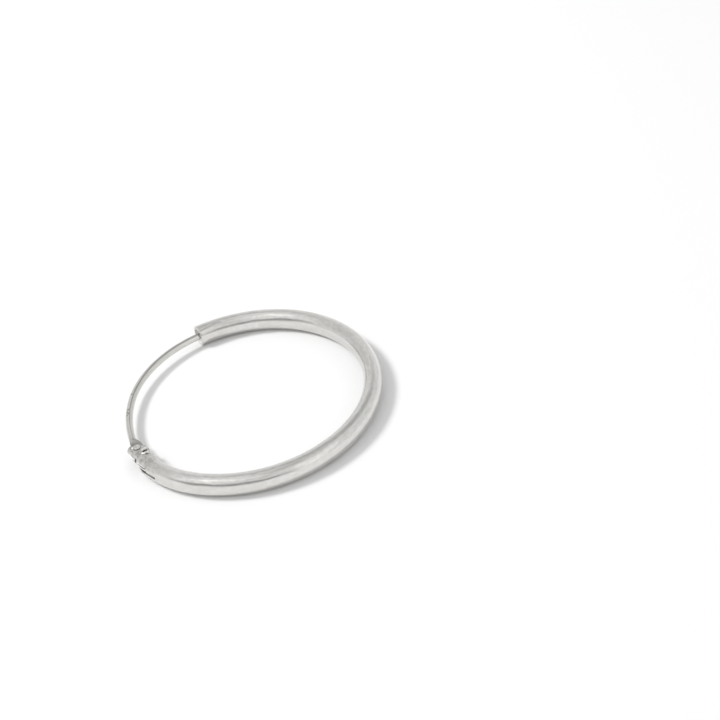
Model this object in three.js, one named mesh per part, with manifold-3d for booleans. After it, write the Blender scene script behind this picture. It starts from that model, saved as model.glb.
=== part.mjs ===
// Hoop earring of hollow silver tube with a hinged ear wire, lying flat on its side.
// Millimetres, +Z up. The hoop's axis is Z and the ear wire is on the +Y side.
// Angles in the hoop's plane run in degrees from +X towards +Y. The tube starts at the
// hinge, runs on through 180 and 270 degrees and ends at its open mouth.

import * as THREE from 'three';
import { mergeVertices } from 'three/addons/utils/BufferGeometryUtils.js';
import Module from 'manifold-3d';

const wasm = await Module();
wasm.setup();

// Hoop tube
const hoopOuterDiameter = 30;
const tubeWidth = 2.04;
const tubeHeight = 2.54;
const tubeWall = 0.28;
const mouthAngle = 41.2;
const mouthSkew = 6;

// Hinge end of the tube, which bends in a little from the hoop's circle and is
// sawn into an upper and a lower ear
const rivetAngle = 138;
const hingeInset = 0.3;
const hingeBend = 34;
const slotLength = 4.2;
const slotRise = 0.08;
const slotClearance = 0.05;
const upperEarReach = 0.68;
const upperEarSkew = 27;
const lowerEarReach = 0.66;
const lowerCornerReach = 0.6;
const lowerCornerSkew = -50;

// Ear wire
const wireDiameter = 0.8;
const wireInsertion = 0.8;
const wireInset = 0.21;
const wireSag = 0.46;
const wireSagPeak = 0.72;
const tipDiameter = 0.34;
const tipTaper = 1;

// Flattened and drilled end of the ear wire, inside the slot
const leafThickness = 0.24;
const leafDiameter = 1.7;
const leafReach = 1.8;
const leafRamp = 1.1;

// Rivet
const rivetDiameter = 0.44;
const rivetClearance = 0.04;
const headDiameter = 0.7;
const headHeight = 0.14;
const headClearance = 0.03;
const tailSetback = 0.04;

// Fineness of the facets, in sides round a section and degrees along the hoop
const tubeSides = 16;
const boreSides = 12;
const wireSides = 12;
const roundSides = 20;
const hoopStep = 6;
const wireStep = 6;

// Sizes that follow from the ones above
const hoopRadius = (hoopOuterDiameter - tubeWidth) / 2;
const rivetRadius = hoopRadius - hingeInset;
const boreWidth = tubeWidth - 2 * tubeWall;
const boreHeight = tubeHeight - 2 * tubeWall;
const slotHeight = leafThickness + 2 * slotClearance;
const drillDiameter = rivetDiameter + 2 * rivetClearance;
const tubeTop = tubeHeight / 2;
const cutMargin = tubeWidth;

// Polished silver, a little duller on the worn tube than on the drawn wire
const silverColour = 0xd2d0ca;
const tubeRoughness = 0.3;
const wireRoughness = 0.22;
const rivetRoughness = 0.25;

const { degToRad, radToDeg, lerp, smoothstep, clamp } = THREE.MathUtils;
const rivetPlace = new THREE.Vector2(
  rivetRadius * Math.cos(degToRad(rivetAngle)),
  rivetRadius * Math.sin(degToRad(rivetAngle)),
);

// A length along the hoop as an angle in degrees
function arcAngle(length) {
  return radToDeg(length / hoopRadius);
}

// Angles from one end of an arc to the other, in equal steps no longer than the one given
function arcSteps(from, to, step) {
  const count = Math.ceil((to - from) / step);
  return Array.from({ length: count + 1 }, (_, i) => lerp(from, to, i / count));
}

// Closed ring of points round an oval that stands in the plane of the hoop's radius and Z.
// The flats of the polygon touch the oval, so that the tube has a flat to lie on.
function ovalRing(angle, radius, rise, width, height, sides) {
  const outside = 1 / Math.cos(Math.PI / sides);
  const radial = new THREE.Vector3(Math.cos(degToRad(angle)), Math.sin(degToRad(angle)), 0);
  const points = [];
  for (let side = 0; side < sides; side += 1) {
    const turn = ((side + 0.5) / sides) * 2 * Math.PI;
    const point = radial.clone().multiplyScalar(radius + (width / 2) * outside * Math.cos(turn));
    point.z = rise + (height / 2) * outside * Math.sin(turn);
    points.push(point);
  }
  return points;
}

// Closed body through a row of rings that all have the same number of points
function loft(rings) {
  const sides = rings[0].length;
  const lastRing = (rings.length - 1) * sides;
  const index = [];
  for (let start = 0; start < lastRing; start += sides) {
    for (let side = 0; side < sides; side += 1) {
      const here = start + side;
      const next = start + ((side + 1) % sides);
      index.push(here, here + sides, next);
      index.push(next, here + sides, next + sides);
    }
  }
  for (let side = 1; side < sides - 1; side += 1) {
    index.push(0, side, side + 1);
    index.push(lastRing, lastRing + side + 1, lastRing + side);
  }
  const geometry = new THREE.BufferGeometry();
  const positions = rings.flat().flatMap((point) => point.toArray());
  geometry.setAttribute('position', new THREE.Float32BufferAttribute(positions, 3));
  geometry.setIndex(index);
  return geometry;
}

// A closed geometry as a solid that can be joined and cut
function solidFrom(geometry) {
  const bare = geometry.clone();
  bare.deleteAttribute('normal');
  bare.deleteAttribute('uv');
  const merged = mergeVertices(bare);
  const vertProperties = new Float32Array(merged.attributes.position.array);
  const triVerts = new Uint32Array(merged.index.array);
  return new wasm.Manifold(new wasm.Mesh({ numProp: 3, vertProperties, triVerts }));
}

// A joined and cut solid as a named mesh with flat facets
function meshFrom(name, solid, roughness) {
  const { vertProperties, triVerts } = solid.getMesh();
  const shared = new THREE.BufferGeometry();
  shared.setAttribute('position', new THREE.BufferAttribute(new Float32Array(vertProperties), 3));
  shared.setIndex(new THREE.BufferAttribute(new Uint32Array(triVerts), 1));
  const geometry = shared.toNonIndexed();
  geometry.computeVertexNormals();
  const silver = new THREE.MeshStandardMaterial({ color: silverColour, metalness: 1, roughness });
  const mesh = new THREE.Mesh(geometry, silver);
  mesh.name = name;
  return mesh;
}

// Upright round bar on the rivet's axis, from one height to another
function barOnRivet(diameter, low, high) {
  const bar = new THREE.CylinderGeometry(diameter / 2, diameter / 2, high - low, roundSides);
  bar.rotateX(Math.PI / 2);
  bar.translate(rivetPlace.x, rivetPlace.y, (low + high) / 2);
  return solidFrom(bar);
}

// Radius of the tube's centreline: a circle that is drawn in towards the hinge end
function tubeRadius(angle) {
  const past = Math.min((angle - rivetAngle) / hingeBend, 1);
  return hoopRadius - hingeInset * (1 - past) ** 2;
}

// Oval bar along the hoop, longer than the tube by a margin at each end
function hoopBar(width, height, sides, margin) {
  const from = rivetAngle - arcAngle(margin);
  const to = mouthAngle + 360 + arcAngle(margin);
  const rings = arcSteps(from, to, hoopStep).map(
    (angle) => ovalRing(angle, tubeRadius(angle), 0, width, height, sides),
  );
  return solidFrom(loft(rings));
}

// Slab in the hoop's plane that saws the hinge end of the tube in two
function slotSlab() {
  const from = degToRad(rivetAngle - arcAngle(2 * cutMargin));
  const to = degToRad(rivetAngle + arcAngle(slotLength));
  const shape = new THREE.Shape();
  shape.absarc(0, 0, hoopRadius + cutMargin, from, to, false);
  shape.absarc(0, 0, hoopRadius - cutMargin, to, from, true);
  const slab = new THREE.ExtrudeGeometry(shape, {
    depth: slotHeight,
    bevelEnabled: false,
    curveSegments: roundSides,
  });
  slab.translate(0, 0, slotRise - slotHeight / 2);
  return solidFrom(slab);
}

// Block that trims an ear across at a reach in front of the rivet, between two heights.
// A positive skew leaves the ear's outer corner longer than its inner one.
function earTrim(reach, skew, low, high) {
  const size = 4 * cutMargin;
  const block = new THREE.BoxGeometry(size, size, high - low);
  block.translate(0, -size / 2, (low + high) / 2);
  block.rotateZ(degToRad(-skew));
  block.translate(0, -reach, 0);
  block.rotateZ(degToRad(rivetAngle));
  block.translate(rivetPlace.x, rivetPlace.y, 0);
  return solidFrom(block);
}

// Block that trims the mouth across, with its outer side a little longer than its inner one
function mouthTrim() {
  const size = 4 * cutMargin;
  const block = new THREE.BoxGeometry(size, size, size);
  block.translate(0, size / 2, 0);
  block.rotateZ(degToRad(mouthSkew));
  block.translate(hoopRadius, 0, 0);
  block.rotateZ(degToRad(mouthAngle));
  return solidFrom(block);
}

// Hollow tube with an open mouth at one end and the two drilled ears at the other
function hoopTube() {
  const solid = hoopBar(tubeWidth, tubeHeight, tubeSides, cutMargin)
    .subtract(hoopBar(boreWidth, boreHeight, boreSides, 1.5 * cutMargin))
    .subtract(slotSlab())
    .subtract(earTrim(upperEarReach, upperEarSkew, slotRise, tubeHeight))
    .subtract(earTrim(lowerEarReach, 0, -tubeHeight, slotRise))
    .subtract(earTrim(lowerCornerReach, lowerCornerSkew, -tubeHeight, slotRise))
    .subtract(mouthTrim())
    .subtract(barOnRivet(drillDiameter, -tubeHeight, tubeHeight));
  return meshFrom('hoop_tube', solid, tubeRoughness);
}

// Radius of the wire's centreline: from the mouth to the rivet it sags in from the hoop
function wireRadius(angle) {
  const share = (angle - mouthAngle) / (rivetAngle - mouthAngle);
  const sagShare = clamp(share, 0, 1) ** (Math.log(0.5) / Math.log(wireSagPeak));
  const straight = lerp(hoopRadius - wireInset, rivetRadius, share);
  return straight - wireSag * Math.sin(Math.PI * sagShare);
}

// Section of the wire at an angle: tapered at the tip, round along the span and
// pressed thin and wide near the rivet
function wireRing(angle, tipAngle) {
  const fromTip = degToRad(angle - tipAngle) * hoopRadius;
  const fromRivet = degToRad(rivetAngle - angle) * hoopRadius;
  const taper = lerp(tipDiameter, wireDiameter, clamp(fromTip / tipTaper, 0, 1));
  const round = smoothstep(fromRivet, leafReach, leafReach + leafRamp);
  const narrow = smoothstep(fromRivet, leafDiameter / 4, leafReach);
  const width = lerp(leafDiameter, taper, narrow);
  const height = lerp(leafThickness, taper, round);
  return ovalRing(angle, wireRadius(angle), slotRise, width, height, wireSides);
}

// Round wire from its tapered tip in the mouth to the drilled leaf on the rivet
function earWire() {
  const tipAngle = mouthAngle - arcAngle(wireInsertion);
  const taperEnd = tipAngle + arcAngle(tipTaper);
  const leafStart = rivetAngle - arcAngle(leafReach);
  const rampStart = leafStart - arcAngle(leafRamp);
  const angles = [
    tipAngle,
    ...arcSteps(taperEnd, rampStart, wireStep),
    ...arcSteps(rampStart, leafStart, arcAngle(leafRamp) / 4).slice(1),
    ...arcSteps(leafStart, rivetAngle, arcAngle(leafReach) / 4).slice(1),
  ];
  const leafLow = slotRise - leafThickness / 2;
  const leafHigh = slotRise + leafThickness / 2;
  const solid = solidFrom(loft(angles.map((angle) => wireRing(angle, tipAngle))))
    .add(barOnRivet(leafDiameter, leafLow, leafHigh))
    .subtract(barOnRivet(drillDiameter, -wireDiameter, wireDiameter));
  return meshFrom('ear_wire', solid, wireRoughness);
}

// Rivet through both ears and the leaf, with a low domed head on the upper ear
function hingeRivet() {
  const headBase = tubeTop + headClearance;
  const profile = [new THREE.Vector2(0, headBase), new THREE.Vector2(headDiameter / 2, headBase)];
  const domeSteps = 4;
  for (let step = 1; step <= domeSteps; step += 1) {
    const turn = (step / domeSteps) * (Math.PI / 2);
    const reach = step === domeSteps ? 0 : (headDiameter / 2) * Math.cos(turn);
    profile.push(new THREE.Vector2(reach, headBase + headHeight * Math.sin(turn)));
  }
  const head = new THREE.LatheGeometry(profile, roundSides);
  head.rotateX(Math.PI / 2);
  head.translate(rivetPlace.x, rivetPlace.y, 0);
  const shaft = barOnRivet(rivetDiameter, -tubeTop + tailSetback, headBase + headHeight / 2);
  return meshFrom('hinge_rivet', solidFrom(head).add(shaft), rivetRoughness);
}

const earring = new THREE.Group();
earring.add(hoopTube(), earWire(), hingeRivet());

// The origin is under the middle of the earring, on the surface that it lies on
const box = new THREE.Box3().setFromObject(earring);
const middle = box.getCenter(new THREE.Vector3());
earring.position.set(-middle.x, -middle.y, -box.min.z);

export default earring;
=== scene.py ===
"""Hinged silver hoop earring, lying flat on its side.

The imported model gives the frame. This script lays finely surfaced pieces over its three
solids, gives each its own silver, and sets up a pale floor, soft studio light and the camera.
Lengths are in millimetres until a mesh is made. Angles in the hoop's plane run in degrees
from +X towards +Y: the tube starts at the hinge, runs through 180 and 270 and ends at its
open mouth. Heights are from the middle of the tube. Colours are sRGB hex codes.
"""

import math

import bpy
import numpy as np
from mathutils import Matrix, Vector


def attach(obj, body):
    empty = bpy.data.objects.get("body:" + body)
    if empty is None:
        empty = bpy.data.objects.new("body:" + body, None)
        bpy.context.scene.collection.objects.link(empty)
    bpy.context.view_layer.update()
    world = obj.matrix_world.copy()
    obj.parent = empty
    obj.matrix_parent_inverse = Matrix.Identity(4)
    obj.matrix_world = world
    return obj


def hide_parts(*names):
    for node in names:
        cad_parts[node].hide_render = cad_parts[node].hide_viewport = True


MILLIMETRE = 0.001

# Where the hoop's axis and the middle of its tube lie in the frame
CENTRE_X = -0.004229
CENTRE_Y = 0.577033
CENTRE_Z = 1.27

# Hoop tube
HOOP_RADIUS = 13.98
TUBE_WIDTH = 2.04
TUBE_HEIGHT = 2.54
TUBE_WALL = 0.28
MOUTH_ANGLE = 41.2
MOUTH_SKEW = 6

# Hinge end of the tube, sawn into an upper and a lower ear
RIVET_ANGLE = 138
HINGE_INSET = 0.3
HINGE_BEND = 34
SLOT_LENGTH = 4.2
SLOT_RISE = 0.08
SLOT_HEIGHT = 0.34
UPPER_EAR_REACH = 0.68
UPPER_EAR_SKEW = 27
LOWER_EAR_REACH = 0.66
LOWER_CORNER_REACH = 1.65
LOWER_CORNER_SKEW = -75
EAR_SPREAD = 0.22
EAR_SPREAD_FULL = 1.4
EAR_SPREAD_END = 3.6

# Ear wire, with its flattened leaf in the slot
WIRE_DIAMETER = 0.8
WIRE_INSERTION = 0.8
WIRE_INSET = 0.21
WIRE_SAG = 0.46
WIRE_SAG_PEAK = 0.72
TIP_DIAMETER = 0.34
TIP_TAPER = 1
LEAF_THICKNESS = 0.24
LEAF_DIAMETER = 1.7
LEAF_REACH = 1.8
LEAF_RAMP = 1.1
LEAF_SHOULDER_REACH = 1.75
LEAF_SHOULDER_END = 3.1
ROUND_SQUARENESS = 2
LEAF_SQUARENESS = 5

# Rounded ends stop a little short of closing, so that their last ring keeps a size
ROUND_LIMIT = 0.98
LEAF_END_LIMIT = 0.002

# A dark line along the wire, a painted dark reflection in a shallow groove, at a turn round it
# in degrees, and small dents in it, each at an angle round the hoop and a turn round the wire
DARK_LINE_TURN = 110
DARK_LINE_WIDTH = 13
DARK_LINE_DEPTH = 0.008
WIRE_DENTS = ((108.6, 66), (107.3, 88), (106, 64), (104.4, 84), (93, 75), (71, 62))
DENT_WIDTH = 0.11
DENT_DEPTH = 0.035

# Marks on the tube. Each runs between two places on its skin, a length along from the rivet
# and a turn round the tube in degrees, with its half width and how far it stands up. First
# comes the torn nick in the upper ear's inner side, where the saw slipped and raised a burr,
# then thin lines along the outer cut that carry the slot's painted shadow and painted highlights
# along the ear's edge, and last a shallow crease at the mouth. Their colour is painted light:
# black painted shade where a mark goes in and a white painted highlight where it stands up
SKIN_RADIUS = 1.15
TUBE_MARKS = (
    ((1.05, 99), (0.93, 112), 0.08, -0.14),
    ((0.93, 112), (0.74, 140), 0.08, -0.14),
    ((0.72, 101), (0.46, 130), 0.06, 0.06),
    ((0.46, 130), (0.1, 158), 0.06, 0.07),
    ((1.29, 90), (1.46, 102), 0.11, 0.1),
    ((1.57, 105), (1.64, 118), 0.1, -0.17),
    ((1.28, 126), (0.85, 144), 0.08, 0.04),
    ((0.15, 153), (0.75, 149), 0.04, -0.08),
    ((-0.3, 157), (0, 156), 0.07, -0.07),
    ((-0.33, 68), (-0.45, 62), 0.07, 0.05),
    ((-0.45, 23), (0.72, 26), 0.06, 0.07),
    ((-1.1, 13.5), (0.8, 14.5), 0.07, -0.09),
    ((0.91, 34), (0.93, 14), 0.09, -0.16),
    ((1.29, 28), (2.58, 32), 0.05, 0.045),
    ((1.42, 23), (2.68, 26), 0.04, -0.065),
    ((1.3, 18), (2.75, 19.5), 0.045, 0.05),
    ((0.97, 13.5), (2.8, 12.5), 0.06, -0.12),
    ((2.6, -6.5), (4.2, -8), 0.05, 0.045),
    ((61.2, 112.5), (64.5, 126.5), 0.13, -0.034),
)

# Rivet. Its hammered head is a ring: a ridge round a shallow dimple with a rounded rim
RIVET_DIAMETER = 0.44
DRILL_DIAMETER = 0.52
HEAD_DIAMETER = 0.7
HEAD_HEIGHT = 0.14
HEAD_CLEARANCE = 0.03
HEAD_RIM = 0.05
HEAD_BEVEL = 0.02
RIDGE_SHARE = 0.4
DIMPLE_DIAMETER = 0.36
DIMPLE_DEPTH = 0.06
DIMPLE_RIM_OUT = (0.02, 0)
DIMPLE_RIM_DROP = (0.004, 0.012)
DIMPLE_FLOOR_SHARES = (0.8, 0.4)
SEAT_GAP = 0.008
POLE_RADIUS = 0.004

# Edges are rounded over this radius, with this many grid lines, and stay sharp in the
# shading where faces meet at more than this angle
EDGE_RADIUS = 0.05
EDGE_LINES = 5
SHARP_ANGLE = 50

# Grid lines along and round the pieces
EAR_STATIONS = 100
HOOP_STATIONS = 190
UPPER_LINES = 76
LOWER_LINES = 34
BAND_LINES = 3
WIRE_STATIONS = 260
LEAF_STATIONS = 40
WIRE_SIDES = 40
RIVET_SIDES = 64
DOME_LINES = 9

# The angles at which a full turn starts for what is written on a piece, in the gap that the
# tube leaves open and on the side away from the wire
TUBE_CUT = 90
WIRE_CUT = -90

# Noise patterns in the silver: grains to a millimetre along, out and up, and the detail
DRAWN_LINES = ((0.3, 7, 7), 3)
SWELLS = ((0.35, 0.9, 0.9), 1)
SPECKS = ((4, 6, 6), 2)
BLOTCHES = ((0.5, 1.5, 1.5), 3)
FLECKS = ((1.5, 5, 5), 2)
GRIT = ((2.4, 3.6, 3.6), 3)

# What each pattern does: the noise's lower and upper value, and what they turn to
BLOTCH_FADE = (0.35, 0.65, 0, 1)
FLECK_FADE = (0.3, 0.7, 0, 0.5)
GLOSS_VALUES = (0.3, 0.7)
GRIT_FADE = (0.35, 0.65, 0.35, 1)
PATINA_FADE = (0.36, 0.64, 0, 1)
LINE_DEPTH = 0.006
SPECK_DEPTH = 0.004
GRIT_DEPTH = 0.012

# Each silver's two tones, its roughness at the least and the most, and its waves' depth
TUBE_SILVER = (("D9D8D5", "E0DFDD"), (0.14, 0.22), 0.045)
WIRE_SILVER = (("D4D3CF", "DCDBD8"), (0.12, 0.2), 0.01)
RIVET_SILVER = (("D6D5D1", "E2E1DE"), (0.2, 0.3), 0.006)
FLECK_TONE = "CCCAC6"

# Where the tube's weathering and painted light fade: two values of what it follows and its share
# at each. Frost follows the share of the tube's oval, filing the length along, the painted shade
# round the rivet's head the distance from its axis and the height, the sawn end the length past
# the upper ear's slanted end, and the marks' painted shade and painted highlights their relief
FROST_FADE = (0.8, 0.84, 0.9, 0)
FILED_FADE = (2.2, 5.5, 1, 0)
# Painted shade in a ring round the rivet's head
HEAD_SHADE_FADE = (0.38, 0.5, 0.8, 0)
HEAD_SHADE_RISE = (0.9, 1, 0, 1)
SAWN_FADE = (-UPPER_EAR_REACH + 0.16, -UPPER_EAR_REACH + 0.28, 0.7, 0)
# Painted shade in the sunk marks and painted highlight on the raised ones, by their relief
SUNK_SHADE_FADE = (-0.07, -0.02, 1, 0)
RAISED_HIGHLIGHT_FADE = (0.012, 0.045, 0, 1)
PATINA_SHARE = 0.8
FROST_ROUGHNESS = 0.4
FILED_ROUGHNESS = 0.28
# Share of the painted highlight that is matt white instead of metal
HIGHLIGHT_WHITENESS = 0.85
BORE_WHITE = "F6F5F2"
PATINA_TONES = ("B0AEAA", "DAD9D6")
SAWN_GREY = "8C8A85"
# Grey of the painted shade round the rivet's head
HEAD_SHADE_GREY = "6E6C68"
# White of the painted highlight on raised marks and black of the painted shade in sunk ones
PAINTED_HIGHLIGHT_WHITE = "FCFBF9"
PAINTED_SHADE_BLACK = "2E2C2A"

# The same for the wire: the painted dark line and the dents follow its relief, the greying
# towards the hinge the length along, and the upper ear's painted shadow on the leaf the length
# past the upper ear's slanted end
# Painted dark reflection line along the wire, by its groove
DARK_LINE_FADE = (-0.008, -0.002, 0.38, 0)
DENT_FADE = (-0.03, -0.008, 0.5, 0)
# The wire turns greyer towards the hinge
HINGE_GREY_FADE = (-4, -1.3, 0, 0.6)
# Painted shadow of the upper ear on the leaf
EAR_SHADOW_FADE = (-UPPER_EAR_REACH - 1.9, -UPPER_EAR_REACH - 0.8, 0, 0.85)
# Grey of the painted dark reflection line along the wire
PAINTED_REFLECTION_GREY = "7C7A76"
DENT_GREY = "6E6C68"
# Grey that the wire turns towards the hinge
HINGE_GREY = "B4B2AD"
# Grey of the upper ear's painted shadow on the leaf
EAR_SHADOW_GREY = "5A5855"

# Floor
FLOOR_HALF = 900
FLOOR_WHITE = "EAEAEA"
FLOOR_ROUGHNESS = 0.9
FLOOR_SPECULAR = 0.1

# Soft panels and dim corners of the studio: azimuth, elevation, inner and outer edge in
# degrees from the middle, and how much light each adds or takes
STUDIO_LEVEL = 0.93
STUDIO_PANELS = (
    (143, 58, 4, 40, 0.14),
    (143, 58, 3, 12, 0.34),
    (250, 36, 4, 24, 0.17),
    (238, 12, 4, 18, 0.24),
    (350, 57, 4, 34, -0.3),
    (315, 35, 10, 60, -0.1),
    (78, 36, 8, 50, -0.2),
    (205, 80, 4, 24, -0.16),
    (240, 66, 4, 24, -0.14),
    (200, 42, 4, 20, -0.14),
)

# The dim band low on the camera's side, where the room is, eased at its two ends
BAND_AZIMUTH = 178
BAND_ELEVATION = 12.5
BAND_HALF_WIDTH = 43
BAND_EASE = 25
BAND_HALF_HEIGHT = 14.5
BAND_LIGHT = -0.66

# Soft box that casts the shadows, high on the left of the view
KEY_AZIMUTH = 97
KEY_ELEVATION = 52
KEY_DISTANCE = 500
KEY_WIDTH = 130
KEY_POWER = 1.5

# Camera, at the photograph's viewing angle
CAMERA_AZIMUTH = -70
CAMERA_ELEVATION = 37.77
CAMERA_ROLL = -11.34
CAMERA_DISTANCE = 169.02
CAMERA_AIM = (8.29, -10.164, 0)
CAMERA_LENS = 75
CAMERA_CLIP = 10

RIVET_RADIUS = HOOP_RADIUS - HINGE_INSET


def arc_angle(length):
    """A length along the hoop as an angle in degrees."""
    return np.degrees(length / HOOP_RADIUS)


def arc_length(angle):
    """An angle in degrees as a length along the hoop."""
    return np.radians(angle) * HOOP_RADIUS


def slant(skew):
    """How far a cut that is turned by an angle runs along for each step out."""
    return math.tan(math.radians(skew))


def cosine(degrees):
    """Cosine of an angle in degrees."""
    return math.cos(math.radians(degrees))


def smoothstep(value, low, high):
    """0 below low, 1 above high and 3t^2 - 2t^3 between."""
    share = np.clip((value - low) / (high - low), 0, 1)
    return share * share * (3 - 2 * share)


def lerp(start, end, share):
    """The point that lies a share of the way from start to end."""
    return start + (end - start) * share


def bell(distance, width):
    """1 at no distance, falling as e^-(distance/width)^2."""
    return np.exp(-((distance / width) ** 2))


def at_hoop(angle, radius, height):
    """Points in metres from an angle round the hoop, a distance from its axis and a height."""
    turn = np.radians(angle)
    place = (CENTRE_X + radius * np.cos(turn), CENTRE_Y + radius * np.sin(turn), CENTRE_Z + height)
    return MILLIMETRE * np.stack(np.broadcast_arrays(*place), axis=-1)


def mesh_piece(name, points, faces, caps=()):
    """Object at the origin from points (n, 3), four-sided faces (m, 4) and any end caps."""
    mesh = bpy.data.meshes.new(name)
    mesh.from_pydata(points.tolist(), [], faces.tolist() + [list(cap) for cap in caps])
    piece = bpy.data.objects.new(name, mesh)
    bpy.context.scene.collection.objects.link(piece)
    return piece


def grid_cells(number):
    """Faces of a grid of point numbers (stations, sides), with the sides going round.

    Corner (i, j) joins (i + 1, j), (i + 1, j + 1) and (i, j + 1).
    """
    onward = np.roll(number, -1, axis=1)
    return np.stack([number[:-1], number[1:], onward[1:], onward[:-1]], axis=-1)


def closed_loft(name, rings):
    """Closed skin through rings (stations, sides, 3), capped at both ends."""
    stations, sides = rings.shape[:2]
    number = np.arange(stations * sides).reshape(stations, sides)
    caps = (number[0], number[-1][::-1])
    return mesh_piece(name, rings.reshape(-1, 3), grid_cells(number).reshape(-1, 4), caps)


def tube_radius(angle):
    """Radius of the tube's centreline: the hoop's, less an inset that shrinks to nothing with
    the square of the distance from the rivet."""
    past = np.minimum((angle - RIVET_ANGLE) / HINGE_BEND, 1)
    return HOOP_RADIUS - HINGE_INSET * (1 - past) ** 2


def edge_steps():
    """Distances from an edge of the grid lines that round it, on a quarter circle."""
    return EDGE_RADIUS * (1 - np.cos(np.linspace(0, np.pi / 2, EDGE_LINES)))


def edge_drop(distance):
    """How far a surface drops at a distance from its edge: a quarter circle down to the wall."""
    inward = EDGE_RADIUS - np.minimum(distance, EDGE_RADIUS)
    return EDGE_RADIUS - np.sqrt(EDGE_RADIUS**2 - inward**2)


def ear_lines(low, high, count, half_height):
    """Turns over one ear, crowded at its two edges, and each line's distance from them."""
    steps = edge_steps() / half_height
    middle = np.linspace(low + steps[-1], high - steps[-1], count)
    turns = np.concatenate([low + steps[:-1], middle, high - steps[-2::-1]])
    return turns, np.minimum(turns - low, high - turns) * half_height


def section_lines(half_height):
    """Turns round the tube's oval, in radians from its outer side upwards.

    They run over the upper ear, down the inner side's slot, under the lower ear and up the
    outer side's slot. Returns the turns, each line's distance from the slot, and the first
    line of each of the four stretches.
    """
    top = math.asin((SLOT_RISE + SLOT_HEIGHT / 2) / half_height)
    bottom = math.asin((SLOT_HEIGHT / 2 - SLOT_RISE) / half_height)
    upper, upper_off = ear_lines(top, np.pi - top, UPPER_LINES, half_height)
    lower, lower_off = ear_lines(np.pi + bottom, 2 * np.pi - bottom, LOWER_LINES, half_height)
    inner = np.linspace(upper[-1], lower[0], BAND_LINES + 2)[1:-1]
    outer = np.linspace(lower[-1], upper[0] + 2 * np.pi, BAND_LINES + 2)[1:-1]
    turns = np.concatenate([upper, inner, lower, outer])
    off_slot = np.concatenate([upper_off, 0 * inner, lower_off, 0 * outer])
    first = np.cumsum([0, len(upper), len(inner), len(lower)])
    return turns, off_slot, first


def tube_ends(turns, first, half_width):
    """Angle at which each line starts, at the sawn ears, and at which it ends, at the mouth."""
    out = half_width * np.cos(turns)
    upper = -UPPER_EAR_REACH - out * slant(UPPER_EAR_SKEW)
    corner = -LOWER_CORNER_REACH - out * slant(LOWER_CORNER_SKEW)
    lower = np.maximum(-LOWER_EAR_REACH, corner)
    reach = np.where(np.arange(len(turns)) < first[2], upper, lower)
    start = RIVET_ANGLE + np.degrees(reach / (RIVET_RADIUS + out))
    mouth = 360 + MOUTH_ANGLE + np.degrees(out * slant(MOUTH_SKEW) / (HOOP_RADIUS + out))
    return start, mouth


def tube_stations(turns, first, half_width):
    """Angles (stations, lines) from the sawn ears to the skewed mouth, each station's
    distances from the ears' ends, from the slot's end and from the mouth, and the first
    station past the slot."""
    start, mouth = tube_ends(turns, first, half_width)
    slot_end = RIVET_ANGLE + arc_angle(SLOT_LENGTH)
    steps = edge_steps()
    rows = arc_angle(steps)[:, None] + 0 * turns
    ear_share = np.linspace(0, 1, EAR_STATIONS + 2)[1:-1, None]
    hoop_share = np.linspace(0, 1, HOOP_STATIONS + 2)[1:-1, None]
    angles = np.concatenate([
        start + rows,
        lerp(start + rows[-1], slot_end, ear_share),
        slot_end + rows,
        lerp(slot_end + rows[-1], mouth - rows[-1], hoop_share),
        mouth - rows[::-1],
    ])
    far = np.full(len(angles), SLOT_LENGTH)
    off_ears, off_slot_end, off_mouth = far.copy(), far.copy(), far.copy()
    slot_row = EDGE_LINES + EAR_STATIONS
    off_ears[:EDGE_LINES] = steps
    off_slot_end[:slot_row] = 0
    off_slot_end[slot_row:slot_row + EDGE_LINES] = steps
    off_mouth[-EDGE_LINES:] = steps[::-1]
    return angles, off_ears, off_slot_end, off_mouth, slot_row


def stroke(along, turn, start, end, width):
    """1 on the line between two places on the tube's skin, falling off as a bell to its sides.

    A place is a length along from the rivet and a turn in degrees.
    """
    around = np.radians(turn - start[1]) * SKIN_RADIUS
    reach = np.array([end[0] - start[0], math.radians(end[1] - start[1]) * SKIN_RADIUS])
    share = ((along - start[0]) * reach[0] + around * reach[1]) / (reach @ reach)
    share = np.clip(share, 0, 1)
    off = np.hypot(along - start[0] - share * reach[0], around - share * reach[1])
    return bell(off, width)


def mark_relief(along, turn):
    """Relief of the tube's marks: the sum of strokes that stand up or go in."""
    return sum(depth * stroke(along, turn, start, end, width) for start, end, width, depth in TUBE_MARKS)


def tube_skin(width, height, side):
    """Points (stations, lines, 3) of the tube's outside (side 1) or bore (side -1), the first
    line of each stretch round it and the first station past the slot.

    An oval, out = width/2 cos(turn) and up = height/2 sin(turn), is carried along the hoop.
    Near an edge it drops along the oval's normal, into the metal, so that the edge is round.
    The outside also spreads inwards at the ears, by the square of cos(turn), and takes the marks.
    """
    half_width, half_height = width / 2, height / 2
    turns, off_slot, first = section_lines(half_height)
    angles, off_ears, off_slot_end, off_mouth, slot_row = tube_stations(turns, first, half_width)
    off_opening = np.hypot(off_slot_end[:, None], off_slot)
    drop = np.maximum(edge_drop(off_opening), edge_drop(np.minimum(off_ears, off_mouth))[:, None])
    normal = np.stack([np.cos(turns) / half_width, np.sin(turns) / half_height])
    normal /= np.hypot(*normal)
    along = arc_length(angles - RIVET_ANGLE)
    if side > 0:
        drop = drop - mark_relief(along, np.degrees(turns))
    out = half_width * np.cos(turns) - side * drop * normal[0]
    up = half_height * np.sin(turns) - side * drop * normal[1]
    if side > 0:
        spread = EAR_SPREAD * (1 - smoothstep(along, EAR_SPREAD_FULL, EAR_SPREAD_END))
        out -= spread * np.clip(-np.cos(turns), 0, 1) ** 2
    return at_hoop(angles, tube_radius(angles) + out, up), first, slot_row


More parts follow.
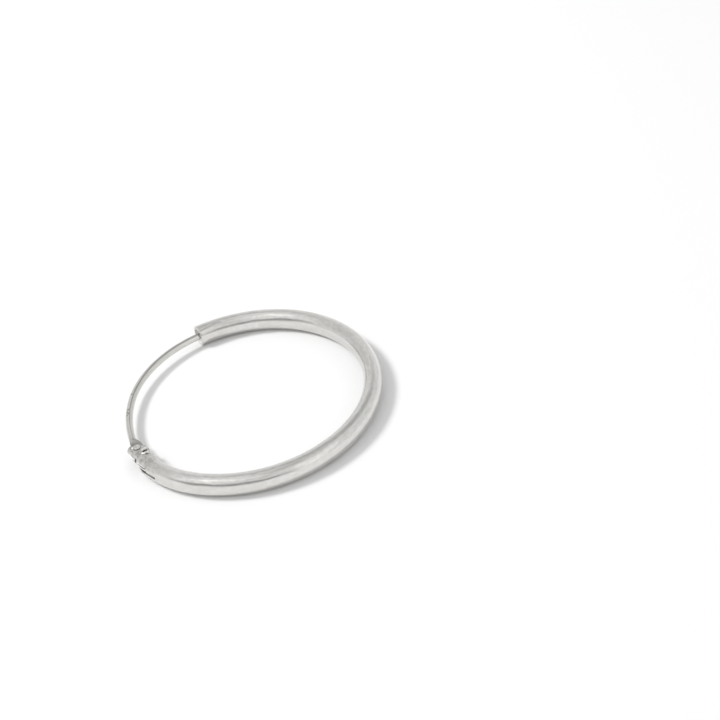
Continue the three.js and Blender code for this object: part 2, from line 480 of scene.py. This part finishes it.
def hoop_tube():
    """Hollow tube: the outside, the bore and the walls that join them along every open edge.

    The cells of both grids inside the slot are left out. A wall's four corners are an edge
    that only one outside cell has, and the same edge of the bore.
    """
    outside, first, slot_row = tube_skin(TUBE_WIDTH, TUBE_HEIGHT, 1)
    bore, _, _ = tube_skin(TUBE_WIDTH - 2 * TUBE_WALL, TUBE_HEIGHT - 2 * TUBE_WALL, -1)
    stations, lines = outside.shape[:2]
    count = stations * lines
    cells = grid_cells(np.arange(count).reshape(stations, lines))
    line = np.arange(lines)
    in_slot = ((line >= first[1] - 1) & (line < first[2])) | (line >= first[3] - 1)
    solid = ~(in_slot[None, :] & (np.arange(stations - 1)[:, None] < slot_row))
    skin = cells[solid]
    edges = np.stack([skin, np.roll(skin, -1, axis=1)], axis=-1).reshape(-1, 2)
    paired = np.isin(edges @ [count, 1], edges @ [1, count])
    rim = edges[~paired]
    walls = np.stack([rim[:, 1], rim[:, 0], rim[:, 0] + count, rim[:, 1] + count], axis=-1)
    faces = np.concatenate([skin, skin[:, ::-1] + count, walls])
    used, faces = np.unique(faces, return_inverse=True)
    points = np.concatenate([outside.reshape(-1, 3), bore.reshape(-1, 3)])[used]
    return mesh_piece("silver_hoop_tube", points, faces.reshape(-1, 4))


def wire_radius(angle):
    """Radius of the wire's centreline: it runs evenly from the mouth to the rivet, less a sine
    arch whose peak is shifted towards the rivet."""
    share = np.clip((angle - MOUTH_ANGLE) / (RIVET_ANGLE - MOUTH_ANGLE), 0, 1)
    sag_share = share ** (math.log(0.5) / math.log(WIRE_SAG_PEAK))
    return lerp(HOOP_RADIUS - WIRE_INSET, RIVET_RADIUS, share) - WIRE_SAG * np.sin(np.pi * sag_share)


def round_end(distance, radius):
    """Share of the full thickness at a distance from a rounded end: a quarter circle."""
    return np.sqrt(1 - np.clip(1 - distance / radius, 0, ROUND_LIMIT) ** 2)


def wire_outline(from_tip, from_rivet):
    """Twice the wire's reach outwards and inwards, its height and its section's squareness.

    It tapers to a rounded tip, is round along the span, and is pressed to a thin leaf near
    the rivet, with a fuller shoulder on its inner side. Past the rivet the leaf's outline is
    a circle round the rivet.
    """
    taper = lerp(TIP_DIAMETER, WIRE_DIAMETER, np.clip(from_tip / TIP_TAPER, 0, 1))
    taper *= round_end(from_tip, TIP_DIAMETER / 2)
    pressed = 1 - smoothstep(from_rivet, LEAF_REACH, LEAF_REACH + LEAF_RAMP)
    wide = 1 - smoothstep(from_rivet, LEAF_DIAMETER / 4, LEAF_REACH)
    shoulder = 1 - smoothstep(from_rivet, LEAF_SHOULDER_REACH, LEAF_SHOULDER_END)
    circle = np.sqrt(np.clip(1 - (2 * from_rivet / LEAF_DIAMETER) ** 2, LEAF_END_LIMIT, 1))
    outer = np.where(from_rivet < 0, LEAF_DIAMETER * circle, lerp(taper, LEAF_DIAMETER, wide))
    inner = np.where(from_rivet < 0, LEAF_DIAMETER * circle, lerp(taper, LEAF_DIAMETER, shoulder))
    height = lerp(taper, LEAF_THICKNESS, pressed)
    height *= round_end(LEAF_DIAMETER / 2 + from_rivet, LEAF_THICKNESS / 2)
    return outer, inner, height, lerp(ROUND_SQUARENESS, LEAF_SQUARENESS, pressed)


def wire_relief(angle, out, up):
    """Relief of the dark line's groove and the dents, at a place given from the wire's centreline:
    bells round a turn and round small places."""
    turn = np.degrees(np.arctan2(up, out))
    # The shallow groove that carries the painted dark reflection line
    sunk = DARK_LINE_DEPTH * bell(turn - DARK_LINE_TURN, DARK_LINE_WIDTH)
    for place, side in WIRE_DENTS:
        around = np.radians(turn - side) * WIRE_DIAMETER / 2
        sunk += DENT_DEPTH * bell(np.hypot(arc_length(angle - place), around), DENT_WIDTH)
    return -sunk


def ear_wire():
    """Wire from its tip in the mouth to the leaf round the rivet.

    Its section is a superellipse: out = width/2 |cos|^(2/n) and up = height/2 |sin|^(2/n),
    with the signs of cos and sin, and n the squareness.
    """
    tip = MOUTH_ANGLE - arc_angle(WIRE_INSERTION)
    leaf = RIVET_ANGLE - arc_angle(LEAF_REACH + LEAF_RAMP)
    end = RIVET_ANGLE + arc_angle(LEAF_DIAMETER / 2)
    nose = tip + arc_angle(TIP_DIAMETER / 2) * (1 - np.cos(np.linspace(0, np.pi / 2, EDGE_LINES)))
    span = np.linspace(nose[-1], leaf, WIRE_STATIONS)[1:]
    blade = lerp(leaf, end, np.sin(np.linspace(0, np.pi / 2, LEAF_STATIONS)))[1:]
    angle = np.concatenate([nose, span, blade])[:, None]
    from_tip = arc_length(angle - tip)
    from_rivet = arc_length(RIVET_ANGLE - angle)
    outer, inner, height, squareness = wire_outline(from_tip, from_rivet)
    turn = np.linspace(0, 2 * np.pi, WIRE_SIDES, endpoint=False)
    width = np.where(np.cos(turn) < 0, inner, outer)
    out = width / 2 * np.sign(np.cos(turn)) * np.abs(np.cos(turn)) ** (2 / squareness)
    up = height / 2 * np.sign(np.sin(turn)) * np.abs(np.sin(turn)) ** (2 / squareness)
    swell = 1 + wire_relief(angle, out, up) / np.hypot(out, up)
    rings = at_hoop(angle, wire_radius(angle) + swell * out, SLOT_RISE + swell * up)
    return closed_loft("silver_ear_wire", rings)


def on_rivet(radius, turn, height):
    """Points in metres round the rivet's axis, with the turn measured from the hoop's radius."""
    out = RIVET_RADIUS + radius * np.cos(turn)
    along = radius * np.sin(turn)
    angle = RIVET_ANGLE + np.degrees(np.arctan2(along, out))
    return at_hoop(angle, np.hypot(out, along), height)


def hinge_rivet():
    """Rivet: a profile turned round its axis, with its head's underside fitted to the tube.

    Each row is a radius and a height. The seat's heights are from the tube's top surface,
    height/2 sqrt(1 - (2 out/width)^2), under the point, and the others from the middle.
    """
    shaft, head, dimple = RIVET_DIAMETER / 2, HEAD_DIAMETER / 2, DIMPLE_DIAMETER / 2
    tube_top = TUBE_HEIGHT / 2
    base = tube_top + HEAD_CLEARANCE
    crown = base + HEAD_HEIGHT
    ridge = lerp(dimple, head - HEAD_RIM, RIDGE_SHARE)
    dome = np.linspace(0, np.pi / 2, DOME_LINES)
    foot = [[POLE_RADIUS, -tube_top], [shaft - HEAD_BEVEL, -tube_top], [shaft, -tube_top + HEAD_BEVEL]]
    seat = [[shaft, SEAT_GAP], [head - HEAD_BEVEL, SEAT_GAP], [head, SEAT_GAP + HEAD_BEVEL]]
    ring = np.stack([ridge + (head - ridge) * np.cos(dome), base + (crown - base) * np.sin(dome)], axis=-1)
    rim = [[dimple + out, crown - drop] for out, drop in zip(DIMPLE_RIM_OUT, DIMPLE_RIM_DROP)]
    floor = [[dimple * share, crown - DIMPLE_DEPTH] for share in DIMPLE_FLOOR_SHARES]
    pole = [[POLE_RADIUS, crown - DIMPLE_DEPTH]]
    radius, height = np.concatenate([foot, seat, ring, rim, floor, pole]).T[:, :, None]
    seated = np.zeros_like(radius)
    seated[len(foot):len(foot) + len(seat)] = 1
    turn = np.linspace(0, 2 * np.pi, RIVET_SIDES, endpoint=False)
    tube_skin_height = tube_top * np.sqrt(1 - (2 * radius * np.cos(turn) / TUBE_WIDTH) ** 2)
    rings = on_rivet(radius, turn, height + seated * tube_skin_height)
    return closed_loft("silver_hinge_rivet", rings[:, ::-1])


def drill(piece):
    """Takes the rivet's hole out of a piece, with an upright bar longer than the tube is high."""
    turn = np.linspace(0, 2 * np.pi, RIVET_SIDES, endpoint=False)
    height = TUBE_HEIGHT * np.array([-1, 1])[:, None]
    bar = closed_loft("drill", on_rivet(DRILL_DIAMETER / 2, turn, height)[:, ::-1])
    cut = piece.modifiers.new("drill", "BOOLEAN")
    cut.operation = "DIFFERENCE"
    cut.object = bar
    drilled = bpy.data.meshes.new_from_object(piece.evaluated_get(bpy.context.evaluated_depsgraph_get()))
    piece.modifiers.clear()
    piece.data = drilled
    drilled.name = piece.name
    bpy.data.objects.remove(bar)


def tube_marks(angle, out, up):
    """Relief of the marks at a place given from the tube's centreline."""
    turn = np.degrees(np.arctan2(up / TUBE_HEIGHT, out / TUBE_WIDTH))
    return mark_relief(arc_length(angle - RIVET_ANGLE), turn)


def wire_marks(angle, out, up):
    """Relief of the wire at a place given from the tube's centreline."""
    return wire_relief(angle, tube_radius(angle) + out - wire_radius(angle), up - SLOT_RISE)


def write_lay(piece, cut, marks=None):
    """Writes the vector "lay" on every vertex, in millimetres: along the hoop from the rivet,
    out from the middle of its tube, and up. Angles start at the cut. The float "marks" is the
    relief there, where a function gives one."""
    mesh = piece.data
    co = np.empty(3 * len(mesh.vertices), np.float32)
    mesh.vertices.foreach_get("co", co)
    x, y, up = (co.reshape(-1, 3) / MILLIMETRE - [CENTRE_X, CENTRE_Y, CENTRE_Z]).T
    angle = (np.degrees(np.arctan2(y, x)) - cut) % 360 + cut
    out = np.hypot(x, y) - tube_radius(angle)
    lay = np.stack([arc_length(angle - RIVET_ANGLE), out, up], axis=-1)
    vectors = mesh.attributes.new("lay", "FLOAT_VECTOR", "POINT")
    vectors.data.foreach_set("vector", lay.astype(np.float32).ravel())
    if marks:
        values = mesh.attributes.new("marks", "FLOAT", "POINT")
        values.data.foreach_set("value", marks(angle, out, up).astype(np.float32))


def linear(code):
    """sRGB hex code to a linear colour."""
    value = np.array([int(code[i:i + 2], 16) / 255 for i in (0, 2, 4)])
    return (*np.where(value > 0.04045, ((value + 0.055) / 1.055) ** 2.4, value / 12.92), 1)


# Settings of nodes
EASED = {"interpolation_type": "SMOOTHSTEP"}
COLOUR = {"data_type": "RGBA"}
ADD = {"operation": "ADD"}
SUBTRACT = {"operation": "SUBTRACT"}
MULTIPLY = {"operation": "MULTIPLY"}
MULTIPLY_ADD = {"operation": "MULTIPLY_ADD"}
MAXIMUM = {"operation": "MAXIMUM"}
DOT = {"operation": "DOT_PRODUCT"}
LENGTH = {"operation": "LENGTH"}


def add_node(tree, kind, settings, inputs):
    """Adds a node with its settings and links.

    The inputs come in the node's own order, or by name or number. Each is a value, a hex
    code, an output, or a node in place of its first output.
    """
    node = tree.nodes.new("ShaderNode" + kind)
    for name, value in settings.items():
        setattr(node, name, value)
    for socket, value in inputs.items() if isinstance(inputs, dict) else enumerate(inputs):
        if isinstance(value, bpy.types.Node):
            value = value.outputs[0]
        if isinstance(value, bpy.types.NodeSocket):
            tree.links.new(value, node.inputs[socket])
        else:
            node.inputs[socket].default_value = linear(value) if isinstance(value, str) else value
    return node


def new_material(name):
    """Material with an empty tree."""
    material = bpy.data.materials.new(name)
    material.use_nodes = True
    material.node_tree.nodes.clear()
    return material, material.node_tree


def shade(tree, inputs):
    """Ends a material's tree with its principled shader."""
    shader = add_node(tree, "BsdfPrincipled", {}, inputs)
    add_node(tree, "OutputMaterial", {}, {"Surface": shader})


def grain(tree, lay, pattern):
    """Noise whose grains are stretched along, out and up."""
    per_millimetre, detail = pattern
    stretched = add_node(tree, "VectorMath", MULTIPLY, (lay, per_millimetre))
    return add_node(tree, "TexNoise", {}, {"Vector": stretched, "Scale": 1, "Detail": detail})


def layered(tree, tint, layers):
    """Lays colours over a tint, each by its share."""
    for share, colour in layers:
        tint = add_node(tree, "Mix", COLOUR, {0: share, 6: tint, 7: colour}).outputs[2]
    return tint


def embossed(tree, reliefs, normal=None):
    """Lays reliefs over a normal, each a height that goes up to a depth in millimetres."""
    for height, depth in reliefs:
        under = {"Normal": normal} if normal else {}
        inputs = {"Strength": 1, "Distance": depth * MILLIMETRE, "Height": height}
        normal = add_node(tree, "Bump", {}, inputs | under)
    return normal


def polished_silver(tree, tones, roughness, wave):
    """Drawn and hand-polished silver: its lay, tint, roughness and normal.

    It is bright and nearly mirror-like, a little wavy along its length, with the fine lines
    of the drawing and of the polishing cloth running round the hoop. The lines are about
    0.15 mm apart, coarser than real ones, so that they show.
    """
    lay = add_node(tree, "Attribute", {"attribute_name": "lay"}, {}).outputs["Vector"]
    lines = grain(tree, lay, DRAWN_LINES)
    blotch = add_node(tree, "MapRange", EASED, (grain(tree, lay, BLOTCHES), *BLOTCH_FADE))
    fleck = add_node(tree, "MapRange", EASED, (grain(tree, lay, FLECKS), *FLECK_FADE))
    gloss = add_node(tree, "MapRange", EASED, (lines, *GLOSS_VALUES, *roughness))
    tint = layered(tree, tones[0], ((blotch, tones[1]), (fleck, FLECK_TONE)))
    reliefs = (grain(tree, lay, SWELLS), wave), (lines, LINE_DEPTH), (grain(tree, lay, SPECKS), SPECK_DEPTH)
    return lay, tint, gloss, embossed(tree, reliefs)


def past_upper_ear(tree, lay):
    """How far a place is along from the rivet, measured square to the upper ear's slanted end."""
    slanted = (1, slant(UPPER_EAR_SKEW), 0)
    return add_node(tree, "VectorMath", DOT, (lay, slanted)).outputs["Value"]


def bore_frost(tree, lay):
    """1 inside the tube and 0 outside, by the length of the place as a share of the oval."""
    shares = (0, 2 / TUBE_WIDTH, 2 / TUBE_HEIGHT)
    oval = add_node(tree, "VectorMath", MULTIPLY, (lay, shares))
    size = add_node(tree, "VectorMath", LENGTH, (oval,)).outputs["Value"]
    return add_node(tree, "MapRange", EASED, (size, *FROST_FADE))


def head_shade(tree, lay):
    """Painted shade: a dark ring round the rivet's head, on the upper ear only."""
    plan = add_node(tree, "VectorMath", MULTIPLY, (lay, (1, 1, 0)))
    distance = add_node(tree, "VectorMath", LENGTH, (plan,)).outputs["Value"]
    up = add_node(tree, "SeparateXYZ", {}, (lay,)).outputs[2]
    near = add_node(tree, "MapRange", EASED, (distance, *HEAD_SHADE_FADE))
    above = add_node(tree, "MapRange", EASED, (up, *HEAD_SHADE_RISE))
    return add_node(tree, "Math", MULTIPLY, (near, above))


def tube_silver():
    """Polished silver tube whose hinge end is filed matt and whose bore is frosted white.

    Pickling leaves the inside matt white. The filed end is duller and greyer, with painted
    shade in a dark ring round the rivet's head, and its marks carry painted shade where they go
    in and a painted highlight where they stand up.
    """
    material, tree = new_material("polished drawn silver tube")
    lay, tint, gloss, normal = polished_silver(tree, *TUBE_SILVER)
    marks = add_node(tree, "Attribute", {"attribute_name": "marks"}, {}).outputs["Fac"]
    # Painted shade in the sunk marks and painted highlight on the raised ones
    sunk_shade = add_node(tree, "MapRange", EASED, (marks, *SUNK_SHADE_FADE))
    raised_highlight = add_node(tree, "MapRange", EASED, (marks, *RAISED_HIGHLIGHT_FADE))
    frost = bore_frost(tree, lay)
    sawn = add_node(tree, "MapRange", EASED, (past_upper_ear(tree, lay), *SAWN_FADE))

    # The filed end: a patina in two tones, which the grit shares out and roughens
    along = add_node(tree, "SeparateXYZ", {}, (lay,))
    filed = add_node(tree, "MapRange", EASED, (along, *FILED_FADE))
    grit = grain(tree, lay, GRIT)
    gritty = add_node(tree, "MapRange", EASED, (grit, *GRIT_FADE))
    patchy = add_node(tree, "MapRange", EASED, (grit, *PATINA_FADE))
    patina = layered(tree, PATINA_TONES[0], ((patchy, PATINA_TONES[1]),))
    patina_share = add_node(tree, "Math", MULTIPLY, (filed, PATINA_SHARE))
    dull = add_node(tree, "Math", MULTIPLY, (filed, gritty))
    filed_grit = add_node(tree, "Math", MULTIPLY, (grit, filed))

    tint = layered(tree, tint, (
        (frost, BORE_WHITE),
        (patina_share, patina),
        (sawn, SAWN_GREY),
        # Painted shade round the rivet's head
        (head_shade(tree, lay), HEAD_SHADE_GREY),
        # Painted highlight on the raised marks and painted shade in the sunk ones
        (raised_highlight, PAINTED_HIGHLIGHT_WHITE),
        (sunk_shade, PAINTED_SHADE_BLACK),
    ))
    frosted = add_node(tree, "Math", MULTIPLY_ADD, (frost, FROST_ROUGHNESS, gloss))
    rough = add_node(tree, "Math", MULTIPLY_ADD, (dull, FILED_ROUGHNESS, frosted))
    # The painted highlight is matt white, not metal
    white_highlight = add_node(tree, "Math", MULTIPLY, (raised_highlight, HIGHLIGHT_WHITENESS))
    white = add_node(tree, "Math", MAXIMUM, (frost, white_highlight))
    metal = add_node(tree, "Math", SUBTRACT, (1, white))
    normal = embossed(tree, ((filed_grit, GRIT_DEPTH),), normal)
    shade(tree, {"Base Color": tint, "Roughness": rough, "Normal": normal, "Metallic": metal})
    return material


def wire_silver():
    """Polished silver wire, with the upper ear's shadow painted dark on the leaf."""
    material, tree = new_material("polished drawn silver wire")
    lay, tint, gloss, normal = polished_silver(tree, *WIRE_SILVER)
    marks = add_node(tree, "Attribute", {"attribute_name": "marks"}, {}).outputs["Fac"]
    along = add_node(tree, "SeparateXYZ", {}, (lay,))
    tint = layered(tree, tint, (
        # Painted dark reflection line along the wire
        (add_node(tree, "MapRange", EASED, (marks, *DARK_LINE_FADE)), PAINTED_REFLECTION_GREY),
        (add_node(tree, "MapRange", EASED, (marks, *DENT_FADE)), DENT_GREY),
        # Greyer towards the hinge
        (add_node(tree, "MapRange", EASED, (along, *HINGE_GREY_FADE)), HINGE_GREY),
        # Painted shadow of the upper ear on the leaf
        (add_node(tree, "MapRange", EASED, (past_upper_ear(tree, lay), *EAR_SHADOW_FADE)), EAR_SHADOW_GREY),
    ))
    shade(tree, {"Base Color": tint, "Roughness": gloss, "Normal": normal, "Metallic": 1})
    return material


def rivet_silver():
    """Rivet hammered from silver wire, duller than the tube and finely dented."""
    material, tree = new_material("hammered silver rivet")
    _, tint, gloss, normal = polished_silver(tree, *RIVET_SILVER)
    shade(tree, {"Base Color": tint, "Roughness": gloss, "Normal": normal, "Metallic": 1})
    return material


def white_floor():
    """White matt acrylic sheet: even and shadow-catching, with no gloss to see."""
    material, tree = new_material("white matt acrylic")
    shade(tree, {
        "Base Color": FLOOR_WHITE,
        "Roughness": FLOOR_ROUGHNESS,
        "Specular IOR Level": FLOOR_SPECULAR,
        "Metallic": 0,
    })
    corners = FLOOR_HALF * MILLIMETRE * np.array([[-1, -1, 0], [1, -1, 0], [1, 1, 0], [-1, 1, 0]])
    floor = mesh_piece("floor", corners, np.array([[0, 1, 2, 3]]))
    floor.data.materials.append(material)


def towards(azimuth, elevation):
    """Unit vector towards a direction, in degrees from +X towards +Y and up from the floor."""
    turn, rise = math.radians(azimuth), math.radians(elevation)
    return Vector((math.cos(turn) * math.cos(rise), math.sin(turn) * math.cos(rise), math.sin(rise)))


def dim_band(tree, look, level):
    """The studio's level with the dim band, whose light fades with the height off its middle
    and eases out at its two ends."""
    height = add_node(tree, "SeparateXYZ", {}, (look,)).outputs[2]
    rise = add_node(tree, "Math", {"operation": "ARCSINE"}, (height,))
    above = add_node(tree, "Math", SUBTRACT, (rise, math.radians(BAND_ELEVATION)))
    off = add_node(tree, "Math", {"operation": "ABSOLUTE"}, (above,))
    light = add_node(tree, "MapRange", EASED, (off, 0, math.radians(BAND_HALF_HEIGHT), BAND_LIGHT, 0))
    facing = add_node(tree, "VectorMath", DOT, (look, towards(BAND_AZIMUTH, 0))).outputs["Value"]
    outer, inner = cosine(BAND_HALF_WIDTH + BAND_EASE), cosine(BAND_HALF_WIDTH - BAND_EASE)
    ends = add_node(tree, "MapRange", EASED, (facing, outer, inner, 0, 1))
    return add_node(tree, "Math", MULTIPLY_ADD, (light, ends, level))


def studio_world():
    """Pale studio with soft panels, each eased from its middle to its edge, and a dim band."""
    world = bpy.data.worlds.new("studio")
    bpy.context.scene.world = world
    world.use_nodes = True
    tree = world.node_tree
    tree.nodes.clear()
    look = add_node(tree, "TexCoord", {}, {}).outputs["Generated"]
    level = STUDIO_LEVEL
    for azimuth, elevation, inner, outer, light in STUDIO_PANELS:
        near = add_node(tree, "VectorMath", DOT, (look, towards(azimuth, elevation))).outputs["Value"]
        panel = add_node(tree, "MapRange", EASED, (near, cosine(outer), cosine(inner), 0, light))
        level = add_node(tree, "Math", ADD, (panel, level))
    level = dim_band(tree, look, level)
    shader = add_node(tree, "Background", {}, {"Color": (1, 1, 1, 1), "Strength": level})
    add_node(tree, "OutputWorld", {}, {"Surface": shader})


def key_light():
    """Soft box that casts the shadows. The metal mirrors the studio's own panel instead of it."""
    aim = towards(KEY_AZIMUTH, KEY_ELEVATION)
    lamp = bpy.data.lights.new("soft box", "AREA")
    lamp.shape = "DISK"
    lamp.size = KEY_WIDTH * MILLIMETRE
    lamp.energy = KEY_POWER
    light = bpy.data.objects.new("soft box", lamp)
    light.location = KEY_DISTANCE * MILLIMETRE * aim
    light.rotation_euler = aim.to_track_quat("Z", "Y").to_euler()
    light.visible_glossy = False
    bpy.context.scene.collection.objects.link(light)


def photo_camera():
    """Camera that looks at a point on the floor from an azimuth and an elevation, rolled a little."""
    turn, rise = math.radians(CAMERA_AZIMUTH), math.radians(CAMERA_ELEVATION)
    back = Vector((math.sin(turn) * math.cos(rise), -math.cos(turn) * math.cos(rise), math.sin(rise)))
    lens = bpy.data.cameras.new("camera")
    lens.lens = CAMERA_LENS
    lens.clip_start = CAMERA_CLIP * MILLIMETRE
    camera = bpy.data.objects.new("camera", lens)
    place = Matrix.Translation(MILLIMETRE * (Vector(CAMERA_AIM) + CAMERA_DISTANCE * back))
    tilt = Matrix.Rotation(math.pi / 2 - rise, 4, "X")
    roll = Matrix.Rotation(math.radians(CAMERA_ROLL), 4, "Z")
    camera.matrix_world = place @ Matrix.Rotation(turn, 4, "Z") @ tilt @ roll
    bpy.context.scene.collection.objects.link(camera)
    bpy.context.scene.camera = camera


def dress(piece, material, body, node):
    """Finishes a piece: its shading and silver, the body it rides on and the solid it replaces."""
    piece.data.shade_smooth()
    piece.data.set_sharp_from_angle(angle=math.radians(SHARP_ANGLE))
    piece.data.materials.clear()
    piece.data.materials.append(material)
    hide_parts(node)
    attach(piece, body)


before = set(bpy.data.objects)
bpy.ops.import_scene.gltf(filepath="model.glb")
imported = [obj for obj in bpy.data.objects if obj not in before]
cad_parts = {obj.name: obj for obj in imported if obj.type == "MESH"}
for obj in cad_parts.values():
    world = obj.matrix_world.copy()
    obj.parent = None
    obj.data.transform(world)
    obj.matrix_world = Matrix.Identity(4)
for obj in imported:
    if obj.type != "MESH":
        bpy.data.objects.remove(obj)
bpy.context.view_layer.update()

white_floor()
studio_world()
key_light()
photo_camera()

tube = hoop_tube()
drill(tube)
write_lay(tube, TUBE_CUT, tube_marks)
dress(tube, tube_silver(), "hoop", "hoop_tube")

wire = ear_wire()
drill(wire)
write_lay(wire, WIRE_CUT, wire_marks)
dress(wire, wire_silver(), "wire", "ear_wire")

rivet = hinge_rivet()
write_lay(rivet, TUBE_CUT)
dress(rivet, rivet_silver(), "hoop", "hinge_rivet")

bpy.context.scene.view_settings.view_transform = "Standard"
